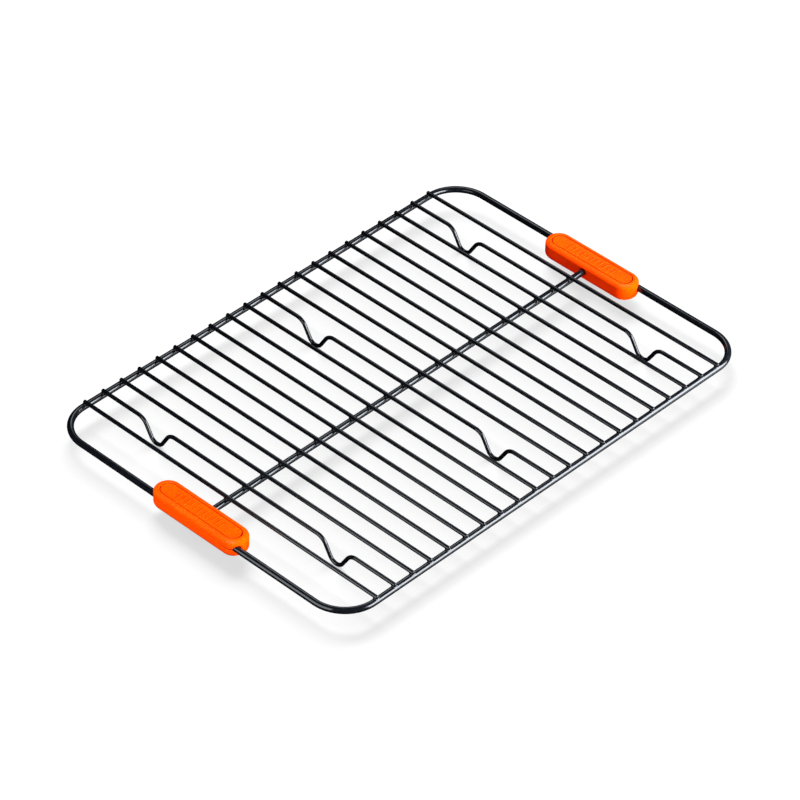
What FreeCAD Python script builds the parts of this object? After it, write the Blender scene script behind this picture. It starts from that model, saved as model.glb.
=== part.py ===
import FreeCAD, Part
import math
import os

# Wire cooling rack with two silicone grips. Millimetres, +Z up.
# The origin is on the table, under the middle of the rack. X runs along the rack from
# grip to grip, and Y runs across it, which is the way the cross wires lie.

# Outer frame: one rod bent into a rounded rectangle and closed with a butt weld
FRAME_ROD_DIA = 5.0
FRAME_LENGTH = 415.0
FRAME_WIDTH = 289.5
FRAME_CORNER_RADIUS = 28.0

# Cross wires, which lie on top of the frame and of the centre rod
CROSS_WIRE_DIA = 3.0
CROSS_WIRE_COUNT = 21
CROSS_WIRE_PITCH = 17.5
CROSS_WIRE_OVERHANG = 1.2
WIRE_TIP_ROUNDING = 0.7
WELD_SET_DOWN = 0.5

# Feet: three of the cross wires are each bent down into two V shapes
FOOT_WIRE_NUMBERS = (2, 11, 20)
FOOT_CENTRE_Y = 88.0
FOOT_DROP = 15.8
FOOT_SLOPE_DEG = 58.8
FOOT_TIP_RADIUS = 6.5
FOOT_SHOULDER_RADIUS = 9.5

# Centre rod, which runs lengthwise under the cross wires from end rail to end rail
CENTRE_ROD_DIA = 5.0
CENTRE_ROD_COPE = 1.2

# Silicone grips, one pushed over the middle of each end rail
GRIP_LENGTH = 85.2
GRIP_WIDTH = 20.7
GRIP_HEIGHT = 14.4
GRIP_INSET = 5.2
GRIP_BELOW_ROD = 7.6
GRIP_TOP_ROUNDING = 3.2
GRIP_BOTTOM_ROUNDING = 4.2
CHANNEL_CLEARANCE = 0.05
MOUTH_DIA = 6.2
MOUTH_DEPTH = 1.4
PANEL_LENGTH = 75.2
PANEL_WIDTH = 12.6
PANEL_GROOVE_DIA = 0.8
PANEL_GROOVE_DEPTH = 0.3
SLIT_THICKNESS = 0.7
SLIT_LENGTH = 12.6
SLIT_NICK_DIA = 1.6

# Heights and half sizes that follow from the dimensions above
WIRE_Z = CROSS_WIRE_DIA / 2 + FOOT_DROP
FRAME_Z = WIRE_Z - (FRAME_ROD_DIA + CROSS_WIRE_DIA) / 2 + WELD_SET_DOWN
END_RAIL_X = (FRAME_LENGTH - FRAME_ROD_DIA) / 2
SIDE_RAIL_Y = (FRAME_WIDTH - FRAME_ROD_DIA) / 2
WIRE_END_Y = SIDE_RAIL_Y + CROSS_WIRE_OVERHANG
GRIP_BOTTOM_Z = FRAME_Z - GRIP_BELOW_ROD
GRIP_TOP_Z = GRIP_BOTTOM_Z + GRIP_HEIGHT

ORIGIN = FreeCAD.Vector(0, 0, 0)
X_AXIS = FreeCAD.Vector(1, 0, 0)
Y_AXIS = FreeCAD.Vector(0, 1, 0)
Z_AXIS = FreeCAD.Vector(0, 0, 1)


def bent_bar(diameter, start, heading, bend_axis, steps):
    """Round bar bent in one plane.

    A step is (length,) for a straight run or (radius, degrees) for a bend about
    bend_axis, where positive degrees follow the right-hand rule.
    """
    place = FreeCAD.Vector(start)
    heading = FreeCAD.Vector(heading)
    pieces = []
    for step in steps:
        section = Part.Face(Part.Wire(Part.makeCircle(diameter / 2, place, heading)))
        if len(step) == 1:
            run = heading * step[0]
            pieces.append(section.extrude(run))
            place = place + run
            continue
        radius, degrees = step
        side = 1 if degrees > 0 else -1
        hub = place + bend_axis.cross(heading) * (radius * side)
        pieces.append(section.revolve(hub, bend_axis * side, abs(degrees)))
        turn = FreeCAD.Rotation(bend_axis, degrees)
        place = hub + turn.multVec(place - hub)
        heading = turn.multVec(heading)
    return pieces[0].multiFuse(pieces[1:]).removeSplitter()


def rounded_rectangle_steps(length, width, radius):
    """Four runs and four quarter bends, counter-clockwise from the end of a side run."""
    steps = []
    for run in (width, length, width, length):
        steps.append((radius, 90))
        steps.append((run - 2 * radius,))
    return steps


def frame_wire():
    start = FreeCAD.Vector(END_RAIL_X - FRAME_CORNER_RADIUS, -SIDE_RAIL_Y, FRAME_Z)
    steps = rounded_rectangle_steps(2 * END_RAIL_X, 2 * SIDE_RAIL_Y, FRAME_CORNER_RADIUS)
    return bent_bar(FRAME_ROD_DIA, start, X_AXIS, Z_AXIS, steps)


def centre_rod():
    """Straight rod, coped at both ends to sit against the round end rails."""
    half_length = END_RAIL_X - CENTRE_ROD_COPE
    start = FreeCAD.Vector(-half_length, 0, FRAME_Z)
    rod = Part.makeCylinder(CENTRE_ROD_DIA / 2, 2 * half_length, start, X_AXIS)
    for side in (-1, 1):
        below = FreeCAD.Vector(side * END_RAIL_X, -CENTRE_ROD_DIA, FRAME_Z)
        rail = Part.makeCylinder(FRAME_ROD_DIA / 2, 2 * CENTRE_ROD_DIA, below, Y_AXIS)
        rod = rod.cut(rail)
    return rod


def foot_steps():
    """One V: shoulder, leg, tip, leg, shoulder. Returns the steps and the half span."""
    slope = math.radians(FOOT_SLOPE_DEG)
    rise_of_bends = (FOOT_SHOULDER_RADIUS + FOOT_TIP_RADIUS) * (1 - math.cos(slope))
    leg = (FOOT_DROP - rise_of_bends) / math.sin(slope)
    reach_of_bends = (FOOT_SHOULDER_RADIUS + FOOT_TIP_RADIUS) * math.sin(slope)
    half_span = reach_of_bends + leg * math.cos(slope)
    steps = [
        (FOOT_SHOULDER_RADIUS, -FOOT_SLOPE_DEG),
        (leg,),
        (FOOT_TIP_RADIUS, 2 * FOOT_SLOPE_DEG),
        (leg,),
        (FOOT_SHOULDER_RADIUS, -FOOT_SLOPE_DEG),
    ]
    return steps, half_span


def round_wire_tips(wire):
    """Softens the two cut ends of a cross wire."""
    tips = []
    for edge in wire.Edges:
        middle = edge.BoundBox.Center
        if abs(abs(middle.y) - WIRE_END_Y) < 1e-3 and edge.BoundBox.YLength < 1e-3:
            tips.append(edge)
    return wire.makeFillet(WIRE_TIP_ROUNDING, tips)


def cross_wire(x):
    start = FreeCAD.Vector(x, -WIRE_END_Y, WIRE_Z)
    return round_wire_tips(Part.makeCylinder(CROSS_WIRE_DIA / 2, 2 * WIRE_END_Y, start, Y_AXIS))


def foot_wire(x):
    """Cross wire with two V feet, one near each end."""
    foot, half_span = foot_steps()
    outer_run = WIRE_END_Y - FOOT_CENTRE_Y - half_span
    middle_run = 2 * (FOOT_CENTRE_Y - half_span)
    steps = [(outer_run,)] + foot + [(middle_run,)] + foot + [(outer_run,)]
    start = FreeCAD.Vector(x, -WIRE_END_Y, WIRE_Z)
    return round_wire_tips(bent_bar(CROSS_WIRE_DIA, start, Y_AXIS, X_AXIS, steps))


def stadium_prism(length, width, z, height):
    """Upright prism on the Z axis with two straight sides and two half-round ends."""
    radius = width / 2
    end = length / 2 - radius
    far_arc = Part.Arc(
        FreeCAD.Vector(radius, end, z),
        FreeCAD.Vector(0, end + radius, z),
        FreeCAD.Vector(-radius, end, z),
    ).toShape()
    near_arc = Part.Arc(
        FreeCAD.Vector(-radius, -end, z),
        FreeCAD.Vector(0, -end - radius, z),
        FreeCAD.Vector(radius, -end, z),
    ).toShape()
    left = Part.makeLine(far_arc.lastVertex().Point, near_arc.firstVertex().Point)
    right = Part.makeLine(near_arc.lastVertex().Point, far_arc.firstVertex().Point)
    outline = Part.Wire([far_arc, left, near_arc, right])
    return Part.Face(outline).extrude(Z_AXIS * height)


def edges_at_height(shape, z):
    return [edge for edge in shape.Edges
            if abs(edge.BoundBox.ZMin - z) < 1e-3 and abs(edge.BoundBox.ZMax - z) < 1e-3]


def grip_body():
    body = stadium_prism(GRIP_LENGTH, GRIP_WIDTH, GRIP_BOTTOM_Z, GRIP_HEIGHT)
    body = body.makeFillet(GRIP_TOP_ROUNDING, edges_at_height(body, GRIP_TOP_Z))
    return body.makeFillet(GRIP_BOTTOM_ROUNDING, edges_at_height(body, GRIP_BOTTOM_Z))


def flared_channel(start, direction, depth_to_mouth):
    """Rod channel from start, widening just inside the surface at depth_to_mouth."""
    channel_radius = FRAME_ROD_DIA / 2 + CHANNEL_CLEARANCE
    mouth_radius = MOUTH_DIA / 2
    flare_start = start + direction * (depth_to_mouth - MOUTH_DEPTH)
    surface = start + direction * depth_to_mouth
    bore = Part.makeCylinder(channel_radius, depth_to_mouth, start, direction)
    flare = Part.makeCone(channel_radius, mouth_radius, MOUTH_DEPTH, flare_start, direction)
    outside = Part.makeCylinder(mouth_radius, GRIP_LENGTH / 2, surface, direction)
    return bore.fuse([flare, outside])


def grip_channels():
    """T-shaped passage: the end rail runs through along Y and the centre rod meets it."""
    rail_point = FreeCAD.Vector(-GRIP_INSET, 0, FRAME_Z)
    cap_radius = GRIP_WIDTH / 2
    cap_depth = math.sqrt(cap_radius ** 2 - GRIP_INSET ** 2)
    mouth_y = GRIP_LENGTH / 2 - cap_radius + cap_depth
    toward_near_end = flared_channel(rail_point, -Y_AXIS, mouth_y)
    toward_far_end = flared_channel(rail_point, Y_AXIS, mouth_y)
    toward_rack = flared_channel(rail_point, X_AXIS, GRIP_INSET + GRIP_WIDTH / 2)
    return [toward_near_end, toward_far_end, toward_rack]


def panel_groove():
    """Round-bottomed groove that outlines a plain panel on top of the grip."""
    radius = PANEL_WIDTH / 2
    axis_z = GRIP_TOP_Z + PANEL_GROOVE_DIA / 2 - PANEL_GROOVE_DEPTH
    start = FreeCAD.Vector(radius, radius - PANEL_LENGTH / 2, axis_z)
    straight = PANEL_LENGTH - PANEL_WIDTH
    steps = [(straight,), (radius, 180), (straight,), (radius, 180)]
    return bent_bar(PANEL_GROOVE_DIA, start, Y_AXIS, Z_AXIS, steps)


def fitting_slit():
    """Cut from the channel out through the side, so the sleeve can open over the rail."""
    slit_end_y = SLIT_LENGTH - GRIP_LENGTH / 2
    corner = FreeCAD.Vector(-GRIP_WIDTH, -GRIP_LENGTH, FRAME_Z - SLIT_THICKNESS / 2)
    reach = GRIP_WIDTH - GRIP_INSET
    slit = Part.makeBox(reach, GRIP_LENGTH + slit_end_y, SLIT_THICKNESS, corner)
    nick_start = FreeCAD.Vector(-GRIP_WIDTH, slit_end_y, FRAME_Z)
    nick = Part.makeCylinder(SLIT_NICK_DIA / 2, reach, nick_start, X_AXIS)
    return slit.fuse(nick)


def grip(turn_degrees):
    """Grip for the left end rail, turned half round for the right one."""
    body = grip_body().cut(grip_channels() + [panel_groove(), fitting_slit()])
    body.translate(FreeCAD.Vector(GRIP_INSET - END_RAIL_X, 0, 0))
    body.rotate(ORIGIN, Z_AXIS, turn_degrees)
    return body


def build_nodes():
    nodes = {
        "frame_wire": frame_wire(),
        "centre_rod": centre_rod(),
        "left_grip": grip(0),
        "right_grip": grip(180),
    }
    middle_number = (CROSS_WIRE_COUNT + 1) / 2
    for number in range(1, CROSS_WIRE_COUNT + 1):
        x = (number - middle_number) * CROSS_WIRE_PITCH
        if number in FOOT_WIRE_NUMBERS:
            nodes["foot_wire_%02d" % number] = foot_wire(x)
        else:
            nodes["cross_wire_%02d" % number] = cross_wire(x)
    return nodes


def main():
    os.makedirs("parts", exist_ok=True)
    for name, shape in build_nodes().items():
        shape.exportStep("parts/%s.step" % name)
        box = shape.BoundBox
        print("%-14s solids %d valid %s volume %.1f  x %.2f..%.2f  y %.2f..%.2f  z %.2f..%.2f" % (
            name, len(shape.Solids), shape.isValid(), shape.Volume,
            box.XMin, box.XMax, box.YMin, box.YMax, box.ZMin, box.ZMax))


main()
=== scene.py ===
import math

import bmesh
import bpy
import numpy as np
from mathutils import Matrix, Vector


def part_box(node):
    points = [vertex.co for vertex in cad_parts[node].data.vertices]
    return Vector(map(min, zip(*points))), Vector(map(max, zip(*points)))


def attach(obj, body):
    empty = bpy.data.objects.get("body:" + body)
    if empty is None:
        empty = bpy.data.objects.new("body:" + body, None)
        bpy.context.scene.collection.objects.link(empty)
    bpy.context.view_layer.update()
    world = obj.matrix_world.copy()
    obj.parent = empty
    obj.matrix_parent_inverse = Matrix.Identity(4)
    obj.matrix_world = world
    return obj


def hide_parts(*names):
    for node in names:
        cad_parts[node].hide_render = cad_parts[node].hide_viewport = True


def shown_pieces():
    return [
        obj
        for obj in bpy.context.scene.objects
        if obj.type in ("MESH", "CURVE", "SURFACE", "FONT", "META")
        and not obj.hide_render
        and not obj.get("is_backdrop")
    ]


# Wire cooling rack with two silicone grips, in metres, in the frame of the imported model.
# X runs along the rack from grip to grip, Y across it, and Z is up from the table.

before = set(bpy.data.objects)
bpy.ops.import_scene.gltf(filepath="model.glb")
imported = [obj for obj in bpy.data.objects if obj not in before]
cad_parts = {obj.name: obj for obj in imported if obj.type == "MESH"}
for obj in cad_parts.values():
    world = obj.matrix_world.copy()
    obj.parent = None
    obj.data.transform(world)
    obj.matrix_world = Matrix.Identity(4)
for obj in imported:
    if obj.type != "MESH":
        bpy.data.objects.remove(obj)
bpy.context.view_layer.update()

MM = 0.001
X_AXIS = Vector((1, 0, 0))
Y_AXIS = Vector((0, 1, 0))
Z_AXIS = Vector((0, 0, 1))

# Rods and wires, read from the frame
FRAME_LOW, FRAME_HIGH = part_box("frame_wire")
ROD_RADIUS = (FRAME_HIGH.z - FRAME_LOW.z) / 2
RAIL_Z = (FRAME_HIGH.z + FRAME_LOW.z) / 2
END_RAIL_X = FRAME_HIGH.x - ROD_RADIUS
SIDE_RAIL_Y = FRAME_HIGH.y - ROD_RADIUS
WIRE_LOW, WIRE_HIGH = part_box("cross_wire_01")
WIRE_RADIUS = (WIRE_HIGH.x - WIRE_LOW.x) / 2
WIRE_Z = (WIRE_HIGH.z + WIRE_LOW.z) / 2
WIRE_END_Y = WIRE_HIGH.y

# Bends
CORNER_RADIUS = 28.0 * MM
FOOT_CENTRE_Y = 88.0 * MM
FOOT_SLOPE = math.radians(58.8)
FOOT_TIP_RADIUS = 6.5 * MM
FOOT_SHOULDER_RADIUS = 9.5 * MM
FOOT_DROP = WIRE_Z - WIRE_RADIUS
BEND_STEP = math.radians(4)

# Fineness and finish of the wires
ROD_SIDES = 48
WIRE_SIDES = 32
TIP_ROUNDING = 0.7 * MM
TIP_STEPS = 6
SHARP_ANGLE = math.radians(40)
ROD_COPE = 1.2 * MM
WELD_FILLET = 0.75 * MM
WELD_AROUND = 48
WELD_ACROSS = 7
WELD_SINK = 0.03 * MM
WELD_SEARCH = 8.0 * MM
WELD_HALVINGS = 40
WELD_SIDE_SHIFT = 1.0 * MM

# Grips
GRIP_LOW, GRIP_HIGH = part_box("left_grip")
GRIP_X = (GRIP_HIGH.x + GRIP_LOW.x) / 2
GRIP_HALF_WIDTH = (GRIP_HIGH.x - GRIP_LOW.x) / 2
GRIP_HALF_LENGTH = (GRIP_HIGH.y - GRIP_LOW.y) / 2
GRIP_INSET = END_RAIL_X + GRIP_X
GRIP_TOP_ROUNDING = 3.2 * MM
GRIP_BOTTOM_ROUNDING = 4.2 * MM
GRIP_CELL = 0.34 * MM
GRIP_TOP_CELL = GRIP_CELL * 0.7
GRIP_ARC_STEPS = 96
GRIP_UNDERSIDE_STEPS = 8
GRIP_BOTTOM_ROUNDING_STEPS = 20
GRIP_TOP_ROUNDING_STEPS = 13
PANEL_INSET = 4.05 * MM
PANEL_END_INSET = 5.0 * MM
TOP_DISH = 0.55 * MM
GROOVE_HALF_WIDTH = 0.65 * MM
GROOVE_DEPTH = 0.9 * MM
CHANNEL_RADIUS = ROD_RADIUS + 0.05 * MM
MOUTH_RADIUS = 3.05 * MM
MOUTH_DEPTH = 1.4 * MM
MOUTH_LIP = 0.45 * MM
SLIT_THICKNESS = 0.9 * MM
SLIT_LENGTH = 12.6 * MM
SLIT_LIP = 0.2 * MM
SLIT_NICK_RADIUS = 0.8 * MM
RIB_COUNT = 11
RIB_PITCH = 4.2 * MM
RIB_HALF_LENGTH = 2.7 * MM
RIB_HALF_WIDTH = 0.95 * MM
RIB_HEIGHT = 0.40 * MM
OPENING_REACH = GRIP_BOTTOM_ROUNDING * 0.6
CUTTER_OVERSHOOT = 1.2

# Black non-stick coating; noise scales are in features per metre
COATING_DARK = (0.0035, 0.0042, 0.0055)
COATING_LIGHT = (0.008, 0.009, 0.012)
COATING_MOTTLE = 260
COATING_PEEL = 900
COATING_GRAIN = 2600
COATING_PEEL_DEPTH = 0.010 * MM
COATING_GRAIN_DEPTH = 0.003 * MM
COATING_ROUGHNESS = (0.13, 0.20)
COATING_IOR = 1.5

# Orange silicone
SILICONE_DEEP = (0.90, 0.053, 0.0)
SILICONE_PALE = (0.93, 0.064, 0.0)
# Painted shade: a darker orange laid into the groove and other creases, where less light reaches
SILICONE_PAINTED_CREASE_SHADE = (0.42, 0.008, 0.0)
# Painted shade: a near-black red laid into the slit, the nick and other tight gaps
SILICONE_PAINTED_GAP_SHADE = (0.06, 0.001, 0.0)
SILICONE_CLOUD = 70
SILICONE_GRAIN = 4200
SILICONE_GRAIN_DEPTH = 0.005 * MM
SILICONE_ROUGHNESS = (0.38, 0.48)
SILICONE_IOR = 1.41
SILICONE_SPECULAR = 0.08
SILICONE_SCATTER = 0.12
SILICONE_SCATTER_RADIUS = (1.0, 0.008, 0.004)
SILICONE_SCATTER_SCALE = 9.0 * MM
# Pointiness range over which the painted crease shade fades in
CREASE_SHADE_POINTINESS = (0.475, 0.496)
# Reach and range of the occlusion that places the painted gap shade
GAP_SHADE_REACH = 1.6 * MM
GAP_SHADE_OPENNESS = (0.35, 0.75)

BUMP_STRENGTH = 0.4
NOISE_CONTRAST = (0.3, 0.7)

# Studio
FLOOR_RADIUS = 30.0
FLOOR_SIDES = 96
FLOOR_ALBEDO = 0.25
FLOOR_GLOW = 0.56
WORLD_LIGHT = 0.07
COOL_WHITE = (0.90, 0.95, 1.0)
NEUTRAL_WHITE = (1.0, 1.0, 1.0)
SILICONE_RED = (1.0, 0.02, 0.0)

# Lights, each as name, centre, the point it faces, (width, height), radiance and colour
SHADOW_LIGHT = (
    "shadow_light", (11.3, 10.3, 12.0), (11.3, 10.3, 0), (17.4, 10.5), 17.9, NEUTRAL_WHITE)
FLOOR_FILL = ("floor_fill", (0, 0, 2.5), (0, 0, 0), (5.0, 5.0), 1.30, NEUTRAL_WHITE)
WIRE_SOFTBOXES = [
    ("front_softbox", (0.278, -0.652, 0.31), (-0.406, 0.032, 0.31), (0.84, 0.46), 20.0, COOL_WHITE),
    ("front_glow", (0.278, -0.652, -0.11), (-0.406, 0.032, -0.11), (0.84, 0.36), 2.2, COOL_WHITE),
    ("left_softbox", (-0.45, -0.03, 0.16), (0, -0.03, 0.16), (0.34, 0.32), 4.2, COOL_WHITE),
    ("back_softbox", (0.38, 0.42, 0.62), (0.05, 0.1, 0), (0.34, 0.34), 2.9, COOL_WHITE),
]
ENDS_SOFTBOX = ("ends_softbox", (0.3, -1.1, 0.16), (0, 0, 0.02), (0.9, 0.3), 64.0, NEUTRAL_WHITE)
NEAR_SOFTBOX = (
    "near_softbox", (-0.85, -0.20, 0.95), (-0.2, 0, 0.02), (0.6, 0.6), 30.0, NEUTRAL_WHITE)
FAR_SOFTBOX = ("far_softbox", (0.17, -0.05, 0.95), (0.2, 0, 0.02), (0.5, 0.5), 25.0, NEUTRAL_WHITE)
FAR_GLOW = ("far_glow", (0.05, 0, 0.02), (0.2, 0, 0.012), (0.12, 0.03), 23.0, SILICONE_RED)

# Camera, standing where the photographer stood
CAMERA_AZIMUTH = math.radians(-47.44)
CAMERA_ELEVATION = math.radians(39.70)
CAMERA_ROLL = math.radians(1.976)
CAMERA_TARGET = Vector((-15.35 * MM, -10.90 * MM, WIRE_Z))
CAMERA_DISTANCE = 2.968
CAMERA_LENS = 189.56
CAMERA_CLIP = (0.1, 100)


# ---------------------------------------------------------------- mesh helpers

def new_piece(name, vertices, faces):
    """Mesh object of its own in the scene."""
    mesh = bpy.data.meshes.new(name)
    mesh.from_pydata([tuple(v) for v in vertices], [], faces)
    mesh.validate()
    piece = bpy.data.objects.new(name, mesh)
    bpy.context.scene.collection.objects.link(piece)
    return piece


def shade(piece):
    """Smooth shading that stays sharp where faces meet at more than SHARP_ANGLE."""
    mesh = bmesh.new()
    mesh.from_mesh(piece.data)
    bmesh.ops.recalc_face_normals(mesh, faces=mesh.faces)
    for face in mesh.faces:
        face.smooth = True
    for edge in mesh.edges:
        edge.smooth = edge.calc_face_angle(0) < SHARP_ANGLE
    mesh.to_mesh(piece.data)
    mesh.free()


def merged(parts):
    """One vertex list and face list from several."""
    vertices = []
    faces = []
    for part_vertices, part_faces in parts:
        first = len(vertices)
        vertices.extend(part_vertices)
        faces.extend(tuple(index + first for index in face) for face in part_faces)
    return vertices, faces


def ring_faces(ring_count, sides, closed):
    """Quads between rings of vertices, with flat caps if the run of rings is open."""
    faces = []
    for number in range(ring_count if closed else ring_count - 1):
        here = number * sides
        onward = (number + 1) % ring_count * sides
        for corner in range(sides):
            beside = (corner + 1) % sides
            faces.append((here + corner, here + beside, onward + beside, onward + corner))
    if not closed:
        faces.append(tuple(reversed(range(sides))))
        faces.append(tuple(range((ring_count - 1) * sides, ring_count * sides)))
    return faces


def walk(start, heading, bend_axis, steps):
    """Places and headings along a bent wire.

    A step is (length,) for a straight run or (radius, angle) for a bend about bend_axis.
    """
    place = Vector(start)
    heading = Vector(heading)
    stations = [(place.copy(), heading.copy())]
    for step in steps:
        if len(step) == 1:
            place = place + heading * step[0]
            stations.append((place.copy(), heading.copy()))
            continue
        radius, angle = step
        hub = place + bend_axis.cross(heading) * math.copysign(radius, angle)
        count = 2 * math.ceil(abs(angle) / BEND_STEP / 2)
        for index in range(1, count + 1):
            turn = Matrix.Rotation(angle * index / count, 3, bend_axis)
            stations.append((hub + turn @ (place - hub), turn @ heading))
        place = stations[-1][0].copy()
        heading = stations[-1][1].copy()
    return stations


def ring(place, heading, flat_axis, radius, sides):
    """Circle of vertices round a place on a rod. flat_axis is square to the heading."""
    side = heading.cross(flat_axis)
    turns = [2 * math.pi * corner / sides for corner in range(sides)]
    return [place + (side * math.cos(t) + flat_axis * math.sin(t)) * radius for t in turns]


# ---------------------------------------------------------------- wires

def wire_tip(place, heading, outward):
    """Rings of a softly rounded tip, from the outermost one inwards."""
    rings = []
    for step in range(TIP_STEPS + 1):
        angle = math.pi / 2 * step / TIP_STEPS
        radius = WIRE_RADIUS - TIP_ROUNDING * (1 - math.sin(angle))
        back = TIP_ROUNDING * (1 - math.cos(angle))
        rings.append(ring(place - outward * back, heading, X_AXIS, radius, WIRE_SIDES))
    return rings


def wire_tube(stations):
    """Cross wire with softly rounded tips."""
    first, first_heading = stations[0]
    last, last_heading = stations[-1]
    rings = wire_tip(first, first_heading, -first_heading)
    for place, heading in stations[1:-1]:
        rings.append(ring(place, heading, X_AXIS, WIRE_RADIUS, WIRE_SIDES))
    rings += reversed(wire_tip(last, last_heading, last_heading))
    vertices = [vertex for each in rings for vertex in each]
    return vertices, ring_faces(len(rings), WIRE_SIDES, False)


def foot_steps():
    """Bends and straight legs of one V foot, and half the length of wire that it spans."""
    rise_of_bends = (FOOT_SHOULDER_RADIUS + FOOT_TIP_RADIUS) * (1 - math.cos(FOOT_SLOPE))
    leg = (FOOT_DROP - rise_of_bends) / math.sin(FOOT_SLOPE)
    reach_of_bends = (FOOT_SHOULDER_RADIUS + FOOT_TIP_RADIUS) * math.sin(FOOT_SLOPE)
    half_span = reach_of_bends + leg * math.cos(FOOT_SLOPE)
    shoulder = (FOOT_SHOULDER_RADIUS, -FOOT_SLOPE)
    steps = [shoulder, (leg,), (FOOT_TIP_RADIUS, 2 * FOOT_SLOPE), (leg,), shoulder]
    return steps, half_span


def wire_stations(x, has_feet):
    """Path of one cross wire, from its front tip to its back tip."""
    steps = [(2 * WIRE_END_Y,)]
    if has_feet:
        foot, half_span = foot_steps()
        outer_run = WIRE_END_Y - FOOT_CENTRE_Y - half_span
        middle_run = 2 * (FOOT_CENTRE_Y - half_span)
        steps = [(outer_run,)] + foot + [(middle_run,)] + foot + [(outer_run,)]
    return walk((x, -WIRE_END_Y, WIRE_Z), Y_AXIS, X_AXIS, steps)


def wire_core(points):
    """Nearest points on the line or disc that the rounded wire is grown from."""
    spread = np.stack([points[:, 0], points[:, 2] - WIRE_Z], 1)
    length = np.maximum(np.linalg.norm(spread, axis=1), 1e-9)
    spread *= (np.minimum(length, WIRE_RADIUS - TIP_ROUNDING) / length)[:, None]
    limit = WIRE_END_Y - TIP_ROUNDING
    return np.stack([spread[:, 0], np.clip(points[:, 1], -limit, limit), spread[:, 1] + WIRE_Z], 1)


def weld_fillet(x, rail_y):
    """Coating drawn into the corner all round a crossing: a ball rolled round the joint.

    The ring of fillet is closed on its inner side, inside the wire and the rod. Its middle lies a
    little inside a side rail, because the wire ends just past the rail.
    """
    around = np.linspace(0, 2 * math.pi, WELD_AROUND, endpoint=False)
    heading = np.stack([np.cos(around), np.sin(around)], 1)
    middle = rail_y - math.copysign(min(abs(rail_y), WELD_SIDE_SHIFT), rail_y)
    near = np.zeros(WELD_AROUND)
    far = np.full(WELD_AROUND, WELD_SEARCH)
    for _ in range(WELD_HALVINGS):
        reach = (near + far) / 2
        centre = ball_centre(heading * reach[:, None], middle, rail_y)
        gap = np.linalg.norm(centre - wire_core(centre), axis=1) - TIP_ROUNDING - WELD_FILLET
        near = np.where(gap < 0, reach, near)
        far = np.where(gap < 0, far, reach)
    to_wire = wire_core(centre) - centre
    to_wire /= np.linalg.norm(to_wire, axis=1)[:, None]
    rod_line = [centre[:, 0], np.full(WELD_AROUND, rail_y), np.full(WELD_AROUND, RAIL_Z)]
    to_rod = np.stack(rod_line, 1) - centre
    to_rod /= np.linalg.norm(to_rod, axis=1)[:, None]
    rows = []
    swing = np.arccos(np.clip((to_wire * to_rod).sum(1), -1, 1))[:, None]
    for share in np.linspace(0, 1, WELD_ACROSS):
        way = (np.sin((1 - share) * swing) * to_wire + np.sin(share * swing) * to_rod) / np.sin(swing)
        rows.append(centre + way * WELD_FILLET)
    rows.insert(0, rows[0] + to_wire * WELD_SINK)
    rows.append(rows[-1] + to_rod * WELD_SINK)
    rows.append(centre + (to_wire + to_rod) * WELD_FILLET)
    vertices = [Vector(point) + X_AXIS * x for row in rows for point in row]
    return vertices, ring_faces(len(rows), WELD_AROUND, True)


def ball_centre(flat, middle, rail_y):
    """Centre of the rolling ball where it touches the rod, over a point in plan."""
    reach = ROD_RADIUS + WELD_FILLET
    across = np.clip(flat[:, 1] + middle - rail_y, -reach, reach)
    height = np.sqrt(reach ** 2 - across ** 2)
    return np.stack([flat[:, 0], across + rail_y, RAIL_Z + height], 1)


def make_cross_wires(finish):
    """Every cross wire, each with the coating fillets of its three welds."""
    for node in sorted(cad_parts):
        if "_wire_" not in node:
            continue
        low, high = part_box(node)
        x = (low.x + high.x) / 2
        parts = [wire_tube(wire_stations(x, node.startswith("foot")))]
        for rail_y in (-SIDE_RAIL_Y, 0, SIDE_RAIL_Y):
            parts.append(weld_fillet(x, rail_y))
        piece = new_piece(node + "_coated", *merged(parts))
        finish_piece(piece, finish, node)


def make_frame_wire(finish):
    """Outer rod, closed on itself."""
    run_x = 2 * (END_RAIL_X - CORNER_RADIUS)
    run_y = 2 * (SIDE_RAIL_Y - CORNER_RADIUS)
    steps = []
    for run in (run_y, run_x, run_y, run_x):
        steps.append((CORNER_RADIUS, math.pi / 2))
        steps.append((run,))
    start = (END_RAIL_X - CORNER_RADIUS, -SIDE_RAIL_Y, RAIL_Z)
    stations = walk(start, X_AXIS, Z_AXIS, steps)[:-1]
    vertices = []
    for place, heading in stations:
        vertices.extend(ring(place, heading, Z_AXIS, ROD_RADIUS, ROD_SIDES))
    piece = new_piece("frame_wire_coated", vertices, ring_faces(len(stations), ROD_SIDES, True))
    finish_piece(piece, finish, "frame_wire")


def make_centre_rod(finish):
    """Lengthwise rod whose coped ends sit against the end rails, inside the grips."""
    vertices = []
    for side in (-1, 1):
        for vertex in ring(Vector((0, 0, RAIL_Z)), X_AXIS, Z_AXIS, ROD_RADIUS, ROD_SIDES):
            hollow = math.sqrt(max(0, ROD_RADIUS ** 2 - (vertex.z - RAIL_Z) ** 2))
            vertices.append(vertex + X_AXIS * side * (END_RAIL_X - max(hollow, ROD_COPE)))
    piece = new_piece("centre_rod_coated", vertices, ring_faces(2, ROD_SIDES, False))
    finish_piece(piece, finish, "centre_rod")


def finish_piece(piece, material, node):
    """Gives a piece its material and puts it in the place of its CAD node."""
    shade(piece)
    piece.data.materials.append(material)
    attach(piece, "root")
    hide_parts(node)


# ---------------------------------------------------------------- grips

def eased(share):
    """Smooth step from 0 to 1."""
    share = min(max(share, 0), 1)
    return share * share * (3 - 2 * share)


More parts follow.
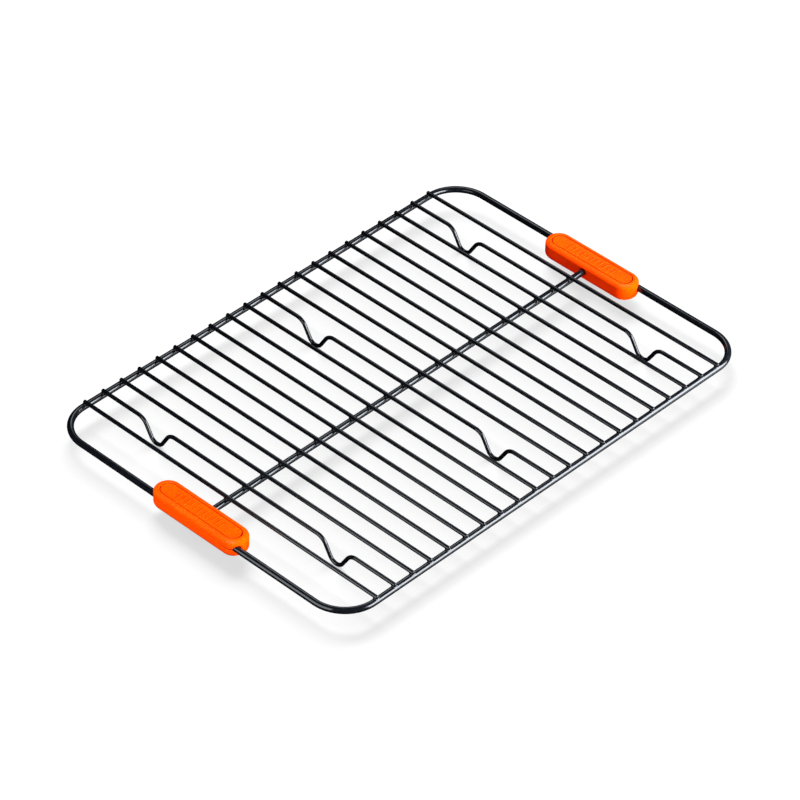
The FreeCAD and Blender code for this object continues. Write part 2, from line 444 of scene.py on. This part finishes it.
def grip_profile():
    """(inset from the outline, height) from the middle of the underside to the middle of the top."""
    low, high = GRIP_LOW.z, GRIP_HIGH.z
    innermost = GRIP_HALF_WIDTH - GRIP_CELL / 2
    underside = np.linspace(innermost, GRIP_BOTTOM_ROUNDING, GRIP_UNDERSIDE_STEPS)
    points = [(inset, low) for inset in underside[:-1]]
    for angle in np.linspace(0, math.pi / 2, GRIP_BOTTOM_ROUNDING_STEPS):
        inset = GRIP_BOTTOM_ROUNDING * (1 - math.sin(angle))
        points.append((inset, low + GRIP_BOTTOM_ROUNDING * (1 - math.cos(angle))))
    side_low = low + GRIP_BOTTOM_ROUNDING
    side_high = high - GRIP_TOP_ROUNDING
    side_steps = math.ceil((side_high - side_low) / GRIP_CELL)
    points += [(0, z) for z in np.linspace(side_low, side_high, side_steps + 1)[1:-1]]
    for angle in np.linspace(0, math.pi / 2, GRIP_TOP_ROUNDING_STEPS):
        inset = GRIP_TOP_ROUNDING * (1 - math.cos(angle))
        points.append((inset, side_high + GRIP_TOP_ROUNDING * math.sin(angle)))
    top_steps = math.ceil((innermost - GRIP_TOP_ROUNDING) / GRIP_TOP_CELL)
    points += [(inset, high) for inset in np.linspace(GRIP_TOP_ROUNDING, innermost, top_steps)[1:]]
    return points


def grip_loop(inset):
    """Points round the grip's outline at an inset, with the outward direction at each."""
    radius = GRIP_HALF_WIDTH - inset
    pull = (PANEL_END_INSET - PANEL_INSET) * min(inset / PANEL_INSET, 1)
    end = GRIP_HALF_LENGTH - GRIP_HALF_WIDTH - pull
    straight_steps = math.ceil(2 * (GRIP_HALF_LENGTH - GRIP_HALF_WIDTH) / GRIP_CELL)
    places = []
    for side in (1, -1):
        for y in np.linspace(-end, end, straight_steps, endpoint=False):
            places.append((Vector((side * radius, side * y, 0)), Vector((side, 0, 0))))
        for angle in np.linspace(0, math.pi, GRIP_ARC_STEPS, endpoint=False):
            outward = Vector((side * math.cos(angle), side * math.sin(angle), 0))
            places.append((outward * radius + Y_AXIS * side * end, outward))
    return places


def panel_relief(inset, place):
    """Height of the top face at a place: a shallow dish, a grooved line and a row of small ribs."""
    groove = GROOVE_DEPTH * (1 - eased(abs(inset - PANEL_INSET) / GROOVE_HALF_WIDTH))
    to_middle = (inset - GRIP_TOP_ROUNDING) / (GRIP_HALF_WIDTH - GRIP_TOP_ROUNDING)
    dish = TOP_DISH * (1 - (1 - to_middle) ** 2)
    rib = 0
    for number in range(RIB_COUNT):
        y = (number - (RIB_COUNT - 1) / 2) * RIB_PITCH
        past_end = max(abs(place.x) - RIB_HALF_LENGTH, 0)
        rib += 1 - eased(math.hypot(past_end, place.y - y) / RIB_HALF_WIDTH)
    return rib * RIB_HEIGHT - groove - dish


def lip_depth(distance, lip):
    """How far a soft lip has sunk at a distance outside the edge of an opening."""
    if distance >= lip:
        return 0
    short = lip - max(distance, 0)
    return lip - math.sqrt(lip * lip - short * short)


def opening_depth(place):
    """Sinks the skin round the three rod mouths and along the fitting slit."""
    height = place.z - RAIL_Z
    depth = 0
    if abs(place.y) > GRIP_HALF_LENGTH - GRIP_HALF_WIDTH:
        depth = lip_depth(math.hypot(place.x + GRIP_INSET, height) - MOUTH_RADIUS, MOUTH_LIP)
    if place.x > 0:
        depth = max(depth, lip_depth(math.hypot(place.y, height) - MOUTH_RADIUS, MOUTH_LIP))
    if place.x < -GRIP_INSET:
        past_end = max(place.y - SLIT_LENGTH + GRIP_HALF_LENGTH, 0)
        from_slit = math.hypot(past_end, height) - SLIT_THICKNESS / 2
        depth = max(depth, lip_depth(from_slit, SLIT_LIP))
    return depth


def grip_body():
    """Moulded body of the grip about its own middle, before the rod channels are cut."""
    loops = []
    for inset, height in grip_profile():
        loop = []
        for place, outward in grip_loop(inset):
            point = place + Z_AXIS * height
            if height == GRIP_HIGH.z:
                point.z += panel_relief(inset, place)
            elif inset < OPENING_REACH:
                point -= outward * opening_depth(point)
            loop.append(point)
        loops.append(loop)
    sides = len(loops[0])
    faces = ring_faces(len(loops), sides, False)[:-2]
    for first in (0, (len(loops) - 1) * sides):
        faces += medial_strip(first, sides)
    return new_piece("grip_body", [point for loop in loops for point in loop], faces)


def medial_strip(first, sides):
    """Quads that close the innermost loop by joining its two long sides."""
    arc_middle = sides // 2 - GRIP_ARC_STEPS // 2
    faces = []
    for step in range(sides // 2):
        right = (arc_middle - step) % sides
        left = (arc_middle + step) % sides
        corners = (right, left, (left + 1) % sides, (right - 1) % sides)
        unique = tuple(first + c for c in dict.fromkeys(corners))
        if len(unique) > 2:
            faces.append(unique)
    return faces


def turned_cutter(start, direction, profile):
    """Round cutter whose (distance, radius) profile runs along a level direction."""
    vertices = []
    for distance, radius in profile:
        vertices += ring(start + direction * distance, direction, Z_AXIS, radius, ROD_SIDES)
    return vertices, ring_faces(len(profile), ROD_SIDES, False)


def box_cutter(low, high):
    """Square-edged cutter between two corners."""
    corners = [Vector((x, y, z)) for x in (low[0], high[0]) for y in (low[1], high[1])
               for z in (low[2], high[2])]
    faces = [(0, 1, 3, 2), (4, 6, 7, 5), (0, 4, 5, 1), (2, 3, 7, 6), (0, 2, 6, 4), (1, 5, 7, 3)]
    return corners, faces


def grip_cutters():
    """Channels for the end rail and the centre rod, and the slit that opens the grip over the rail."""
    rail_point = Vector((-GRIP_INSET, 0, RAIL_Z))
    cap_depth = math.sqrt(GRIP_HALF_WIDTH ** 2 - GRIP_INSET ** 2)
    end_depth = GRIP_HALF_LENGTH - GRIP_HALF_WIDTH + cap_depth
    side_depth = GRIP_INSET + GRIP_HALF_WIDTH
    half_channel = end_depth - MOUTH_DEPTH
    outside = GRIP_HALF_LENGTH * CUTTER_OVERSHOOT
    rail_profile = [
        (-outside, MOUTH_RADIUS), (-end_depth, MOUTH_RADIUS), (-half_channel, CHANNEL_RADIUS),
        (half_channel, CHANNEL_RADIUS), (end_depth, MOUTH_RADIUS), (outside, MOUTH_RADIUS),
    ]
    rod_profile = [
        (0, CHANNEL_RADIUS), (side_depth - MOUTH_DEPTH, CHANNEL_RADIUS),
        (side_depth, MOUTH_RADIUS), (side_depth + MOUTH_DEPTH, MOUTH_RADIUS),
    ]
    slit_end = SLIT_LENGTH - GRIP_HALF_LENGTH
    slit_start_x = -GRIP_HALF_WIDTH * CUTTER_OVERSHOOT
    nick_start = Vector((slit_start_x, slit_end, RAIL_Z))
    nick_profile = [(0, SLIT_NICK_RADIUS), (-GRIP_INSET - slit_start_x, SLIT_NICK_RADIUS)]
    slit_low = (slit_start_x, -GRIP_HALF_LENGTH * CUTTER_OVERSHOOT, RAIL_Z - SLIT_THICKNESS / 2)
    slit_high = (-GRIP_INSET, slit_end, RAIL_Z + SLIT_THICKNESS / 2)
    return [
        turned_cutter(rail_point, Y_AXIS, rail_profile),
        turned_cutter(rail_point, X_AXIS, rod_profile),
        box_cutter(slit_low, slit_high),
        turned_cutter(nick_start, X_AXIS, nick_profile),
    ]


def cut(piece, cutter_mesh):
    """Takes a closed mesh away from a piece, for good."""
    cutter = new_piece("cutter", *cutter_mesh)
    shade(cutter)
    shade(piece)
    change = piece.modifiers.new("cut", "BOOLEAN")
    change.operation = "DIFFERENCE"
    change.solver = "EXACT"
    change.object = cutter
    depsgraph = bpy.context.evaluated_depsgraph_get()
    result = bpy.data.meshes.new_from_object(piece.evaluated_get(depsgraph))
    piece.modifiers.clear()
    piece.data = result
    bpy.data.objects.remove(cutter)


def make_grips(finish):
    """Left grip, and the same moulding turned half round for the right."""
    body = grip_body()
    for cutter_mesh in grip_cutters():
        cut(body, cutter_mesh)
    grips = []
    for node, turn in (("left_grip", 0), ("right_grip", math.pi)):
        piece = bpy.data.objects.new(node + "_silicone", body.data.copy())
        bpy.context.scene.collection.objects.link(piece)
        piece.data.transform(Matrix.Rotation(turn, 4, "Z") @ Matrix.Translation(X_AXIS * GRIP_X))
        finish_piece(piece, finish, node)
        grips.append(piece)
    bpy.data.objects.remove(body)
    return grips


# ---------------------------------------------------------------- materials

def new_material(name):
    """New material with its node tree and its shader."""
    material = bpy.data.materials.new(name)
    material.use_nodes = True
    tree = material.node_tree
    return material, tree, tree.nodes["Principled BSDF"]


def noise(tree, scale, detail):
    """3-D noise in object space; scale is features per metre."""
    place = tree.nodes.new("ShaderNodeTexCoord")
    texture = tree.nodes.new("ShaderNodeTexNoise")
    texture.inputs["Scale"].default_value = scale
    texture.inputs["Detail"].default_value = detail
    tree.links.new(place.outputs["Object"], texture.inputs["Vector"])
    return texture.outputs["Fac"]


def blend_colours(tree, factor, low, high):
    """Runs from one colour to another over the middle of a noise's range."""
    ramp = tree.nodes.new("ShaderNodeValToRGB")
    for element, position, colour in zip(ramp.color_ramp.elements, NOISE_CONTRAST, (low, high)):
        element.position = position
        element.color = (*colour, 1)
    tree.links.new(factor, ramp.inputs["Fac"])
    return ramp.outputs["Color"]


def mix_colours(tree, factor, low, high):
    """A plain colour at 0 and another node's colour at 1."""
    mix = tree.nodes.new("ShaderNodeMixRGB")
    mix.inputs["Color1"].default_value = (*low, 1)
    tree.links.new(factor, mix.inputs["Fac"])
    tree.links.new(high, mix.inputs["Color2"])
    return mix.outputs["Color"]


def map_range(tree, value, source, target=(0, 1)):
    """Maps one range of a value to another, and holds it at the ends."""
    node = tree.nodes.new("ShaderNodeMapRange")
    node.inputs["From Min"].default_value = source[0]
    node.inputs["From Max"].default_value = source[1]
    node.inputs["To Min"].default_value = target[0]
    node.inputs["To Max"].default_value = target[1]
    tree.links.new(value, node.inputs["Value"])
    return node.outputs["Result"]


def bump(tree, heights, shader):
    """Stacks bumps, each given as (height output, depth in metres)."""
    normal = None
    for height, depth in heights:
        node = tree.nodes.new("ShaderNodeBump")
        node.inputs["Distance"].default_value = depth
        node.inputs["Strength"].default_value = BUMP_STRENGTH
        tree.links.new(height, node.inputs["Height"])
        if normal:
            tree.links.new(normal, node.inputs["Normal"])
        normal = node.outputs["Normal"]
    tree.links.new(normal, shader.inputs["Normal"])


def coated_wire_material():
    """Satin black non-stick coating: faint orange peel and a fine grain over steel wire."""
    material, tree, shader = new_material("black_nonstick_coating")
    mottle = noise(tree, COATING_MOTTLE, 3.0)
    grain = noise(tree, COATING_GRAIN, 2.0)
    peel = noise(tree, COATING_PEEL, 1.0)
    colour = blend_colours(tree, mottle, COATING_DARK, COATING_LIGHT)
    tree.links.new(colour, shader.inputs["Base Color"])
    roughness = map_range(tree, mottle, NOISE_CONTRAST, COATING_ROUGHNESS)
    tree.links.new(roughness, shader.inputs["Roughness"])
    bump(tree, [(peel, COATING_PEEL_DEPTH), (grain, COATING_GRAIN_DEPTH)], shader)
    shader.inputs["IOR"].default_value = COATING_IOR
    return material


def crease_shade_mask(tree):
    """Mask for painted shade: 1 on open skin, falling to 0 where the skin turns inward."""
    geometry = tree.nodes.new("ShaderNodeNewGeometry")
    return map_range(tree, geometry.outputs["Pointiness"], CREASE_SHADE_POINTINESS)


def gap_shade_mask(tree):
    """Mask for painted shade: 1 on open skin, falling to 0 where another part of the skin faces it
    closely.
    """
    nearby = tree.nodes.new("ShaderNodeAmbientOcclusion")
    nearby.only_local = True
    nearby.inputs["Distance"].default_value = GAP_SHADE_REACH
    return map_range(tree, nearby.outputs["AO"], GAP_SHADE_OPENNESS)


def silicone_material():
    """Matte orange silicone rubber: slight clouding, a moulded grain, and painted shade darkening its
    creases and gaps.
    """
    material, tree, shader = new_material("orange_silicone")
    cloud = noise(tree, SILICONE_CLOUD, 3.0)
    grain = noise(tree, SILICONE_GRAIN, 2.0)
    colour = blend_colours(tree, cloud, SILICONE_DEEP, SILICONE_PALE)
    # Painted shade in creases such as the groove
    colour = mix_colours(tree, crease_shade_mask(tree), SILICONE_PAINTED_CREASE_SHADE, colour)
    # Painted shade in the slit, the nick and other tight gaps
    colour = mix_colours(tree, gap_shade_mask(tree), SILICONE_PAINTED_GAP_SHADE, colour)
    tree.links.new(colour, shader.inputs["Base Color"])
    roughness = map_range(tree, grain, NOISE_CONTRAST, SILICONE_ROUGHNESS)
    tree.links.new(roughness, shader.inputs["Roughness"])
    bump(tree, [(grain, SILICONE_GRAIN_DEPTH)], shader)
    shader.inputs["IOR"].default_value = SILICONE_IOR
    shader.inputs["Specular IOR Level"].default_value = SILICONE_SPECULAR
    shader.inputs["Subsurface Weight"].default_value = SILICONE_SCATTER
    shader.inputs["Subsurface Radius"].default_value = SILICONE_SCATTER_RADIUS
    shader.inputs["Subsurface Scale"].default_value = SILICONE_SCATTER_SCALE
    return material


def floor_material():
    """Pale seamless studio floor, lit from below as well, so that it stays white to the horizon."""
    material, _, shader = new_material("pale_floor")
    shader.inputs["Base Color"].default_value = (FLOOR_ALBEDO, FLOOR_ALBEDO, FLOOR_ALBEDO, 1)
    shader.inputs["Roughness"].default_value = 1.0
    shader.inputs["Specular IOR Level"].default_value = 0.0
    shader.inputs["Emission Color"].default_value = (*NEUTRAL_WHITE, 1)
    shader.inputs["Emission Strength"].default_value = FLOOR_GLOW
    return material


# ---------------------------------------------------------------- studio

def make_floor():
    """Round floor that the rack doesn't mirror and that throws no light back on it."""
    mesh = bmesh.new()
    bmesh.ops.create_circle(mesh, cap_ends=True, segments=FLOOR_SIDES, radius=FLOOR_RADIUS)
    data = bpy.data.meshes.new("floor")
    mesh.to_mesh(data)
    mesh.free()
    floor = bpy.data.objects.new("floor", data)
    bpy.context.scene.collection.objects.link(floor)
    floor.data.materials.append(floor_material())
    floor.visible_glossy = False
    floor.visible_diffuse = False
    floor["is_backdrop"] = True
    return floor


def make_softbox(name, centre, aim, size, radiance, colour):
    """Rectangular light that faces a point. Radiance is relative to the white floor."""
    width, height = size
    light = bpy.data.lights.new(name, "AREA")
    light.shape = "RECTANGLE"
    light.size = width
    light.size_y = height
    light.energy = radiance * math.pi * width * height
    light.color = colour
    box = bpy.data.objects.new(name, light)
    bpy.context.scene.collection.objects.link(box)
    box.location = centre
    box.rotation_euler = (Vector(aim) - Vector(centre)).to_track_quat("-Z", "Y").to_euler()
    box.visible_camera = False
    return box


def named_group(name, things):
    """Collection that lights can be linked to."""
    group = bpy.data.collections.new(name)
    for thing in things:
        group.objects.link(thing)
    return group


def light_only(lights, name, things):
    """Keeps lights off everything but some things."""
    group = named_group(name, things)
    for light in lights:
        light.light_linking.receiver_collection = group


def make_world():
    """Faint even light from all round, which the gloss doesn't mirror."""
    world = bpy.data.worlds.new("studio")
    world.use_nodes = True
    background = world.node_tree.nodes["Background"]
    background.inputs["Color"].default_value = (*NEUTRAL_WHITE, 1)
    background.inputs["Strength"].default_value = WORLD_LIGHT
    world.cycles_visibility.glossy = False
    bpy.context.scene.world = world


def light_floor(floor, wires):
    """A broad shadow light behind the rack, and an overhead fill that only the wires block."""
    shadow = make_softbox(*SHADOW_LIGHT)
    shadow.visible_glossy = False
    fill = make_softbox(*FLOOR_FILL)
    light_only([shadow, fill], "lit_floor", [floor])
    fill.light_linking.blocker_collection = named_group("fill_blockers", wires)


def light_grips(grips):
    """One softbox for the ends of both grips, one for each top, and the glow on the far one."""
    left_grip, right_grip = grips
    ends = make_softbox(*ENDS_SOFTBOX)
    ends.visible_glossy = False
    light_only([ends], "lit_grips", grips)
    near = make_softbox(*NEAR_SOFTBOX)
    light_only([near], "lit_left_grip", [left_grip])
    far = make_softbox(*FAR_SOFTBOX)
    glow = make_softbox(*FAR_GLOW)
    light_only([far, glow], "lit_right_grip", [right_grip])
    for grip in grips:
        grip.visible_diffuse = False


def make_studio(grips):
    """Floor and lights. The floor, the wires and the grips each have lights of their own."""
    floor = make_floor()
    make_world()
    wires = [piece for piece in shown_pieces() if piece not in grips]
    light_floor(floor, wires)
    light_only([make_softbox(*light) for light in WIRE_SOFTBOXES], "lit_wires", wires)
    light_grips(grips)
    bpy.context.scene.view_settings.view_transform = "Standard"


def make_camera():
    """Camera at the photograph's angle, turned a little about its own line of sight."""
    level_share = math.cos(CAMERA_ELEVATION)
    back = Vector((
        math.sin(CAMERA_AZIMUTH) * level_share,
        -math.cos(CAMERA_AZIMUTH) * level_share,
        math.sin(CAMERA_ELEVATION),
    ))
    level = Z_AXIS.cross(back).normalized()
    upright = back.cross(level)
    right = level * math.cos(CAMERA_ROLL) + upright * math.sin(CAMERA_ROLL)
    up = upright * math.cos(CAMERA_ROLL) - level * math.sin(CAMERA_ROLL)
    data = bpy.data.cameras.new("camera")
    data.lens = CAMERA_LENS
    data.clip_start, data.clip_end = CAMERA_CLIP
    camera = bpy.data.objects.new("camera", data)
    bpy.context.scene.collection.objects.link(camera)
    turn = Matrix((right, up, back)).transposed().to_4x4()
    camera.matrix_world = Matrix.Translation(CAMERA_TARGET + back * CAMERA_DISTANCE) @ turn
    bpy.context.scene.camera = camera


coating = coated_wire_material()
make_frame_wire(coating)
make_centre_rod(coating)
make_cross_wires(coating)
grips = make_grips(silicone_material())
make_studio(grips)
make_camera()
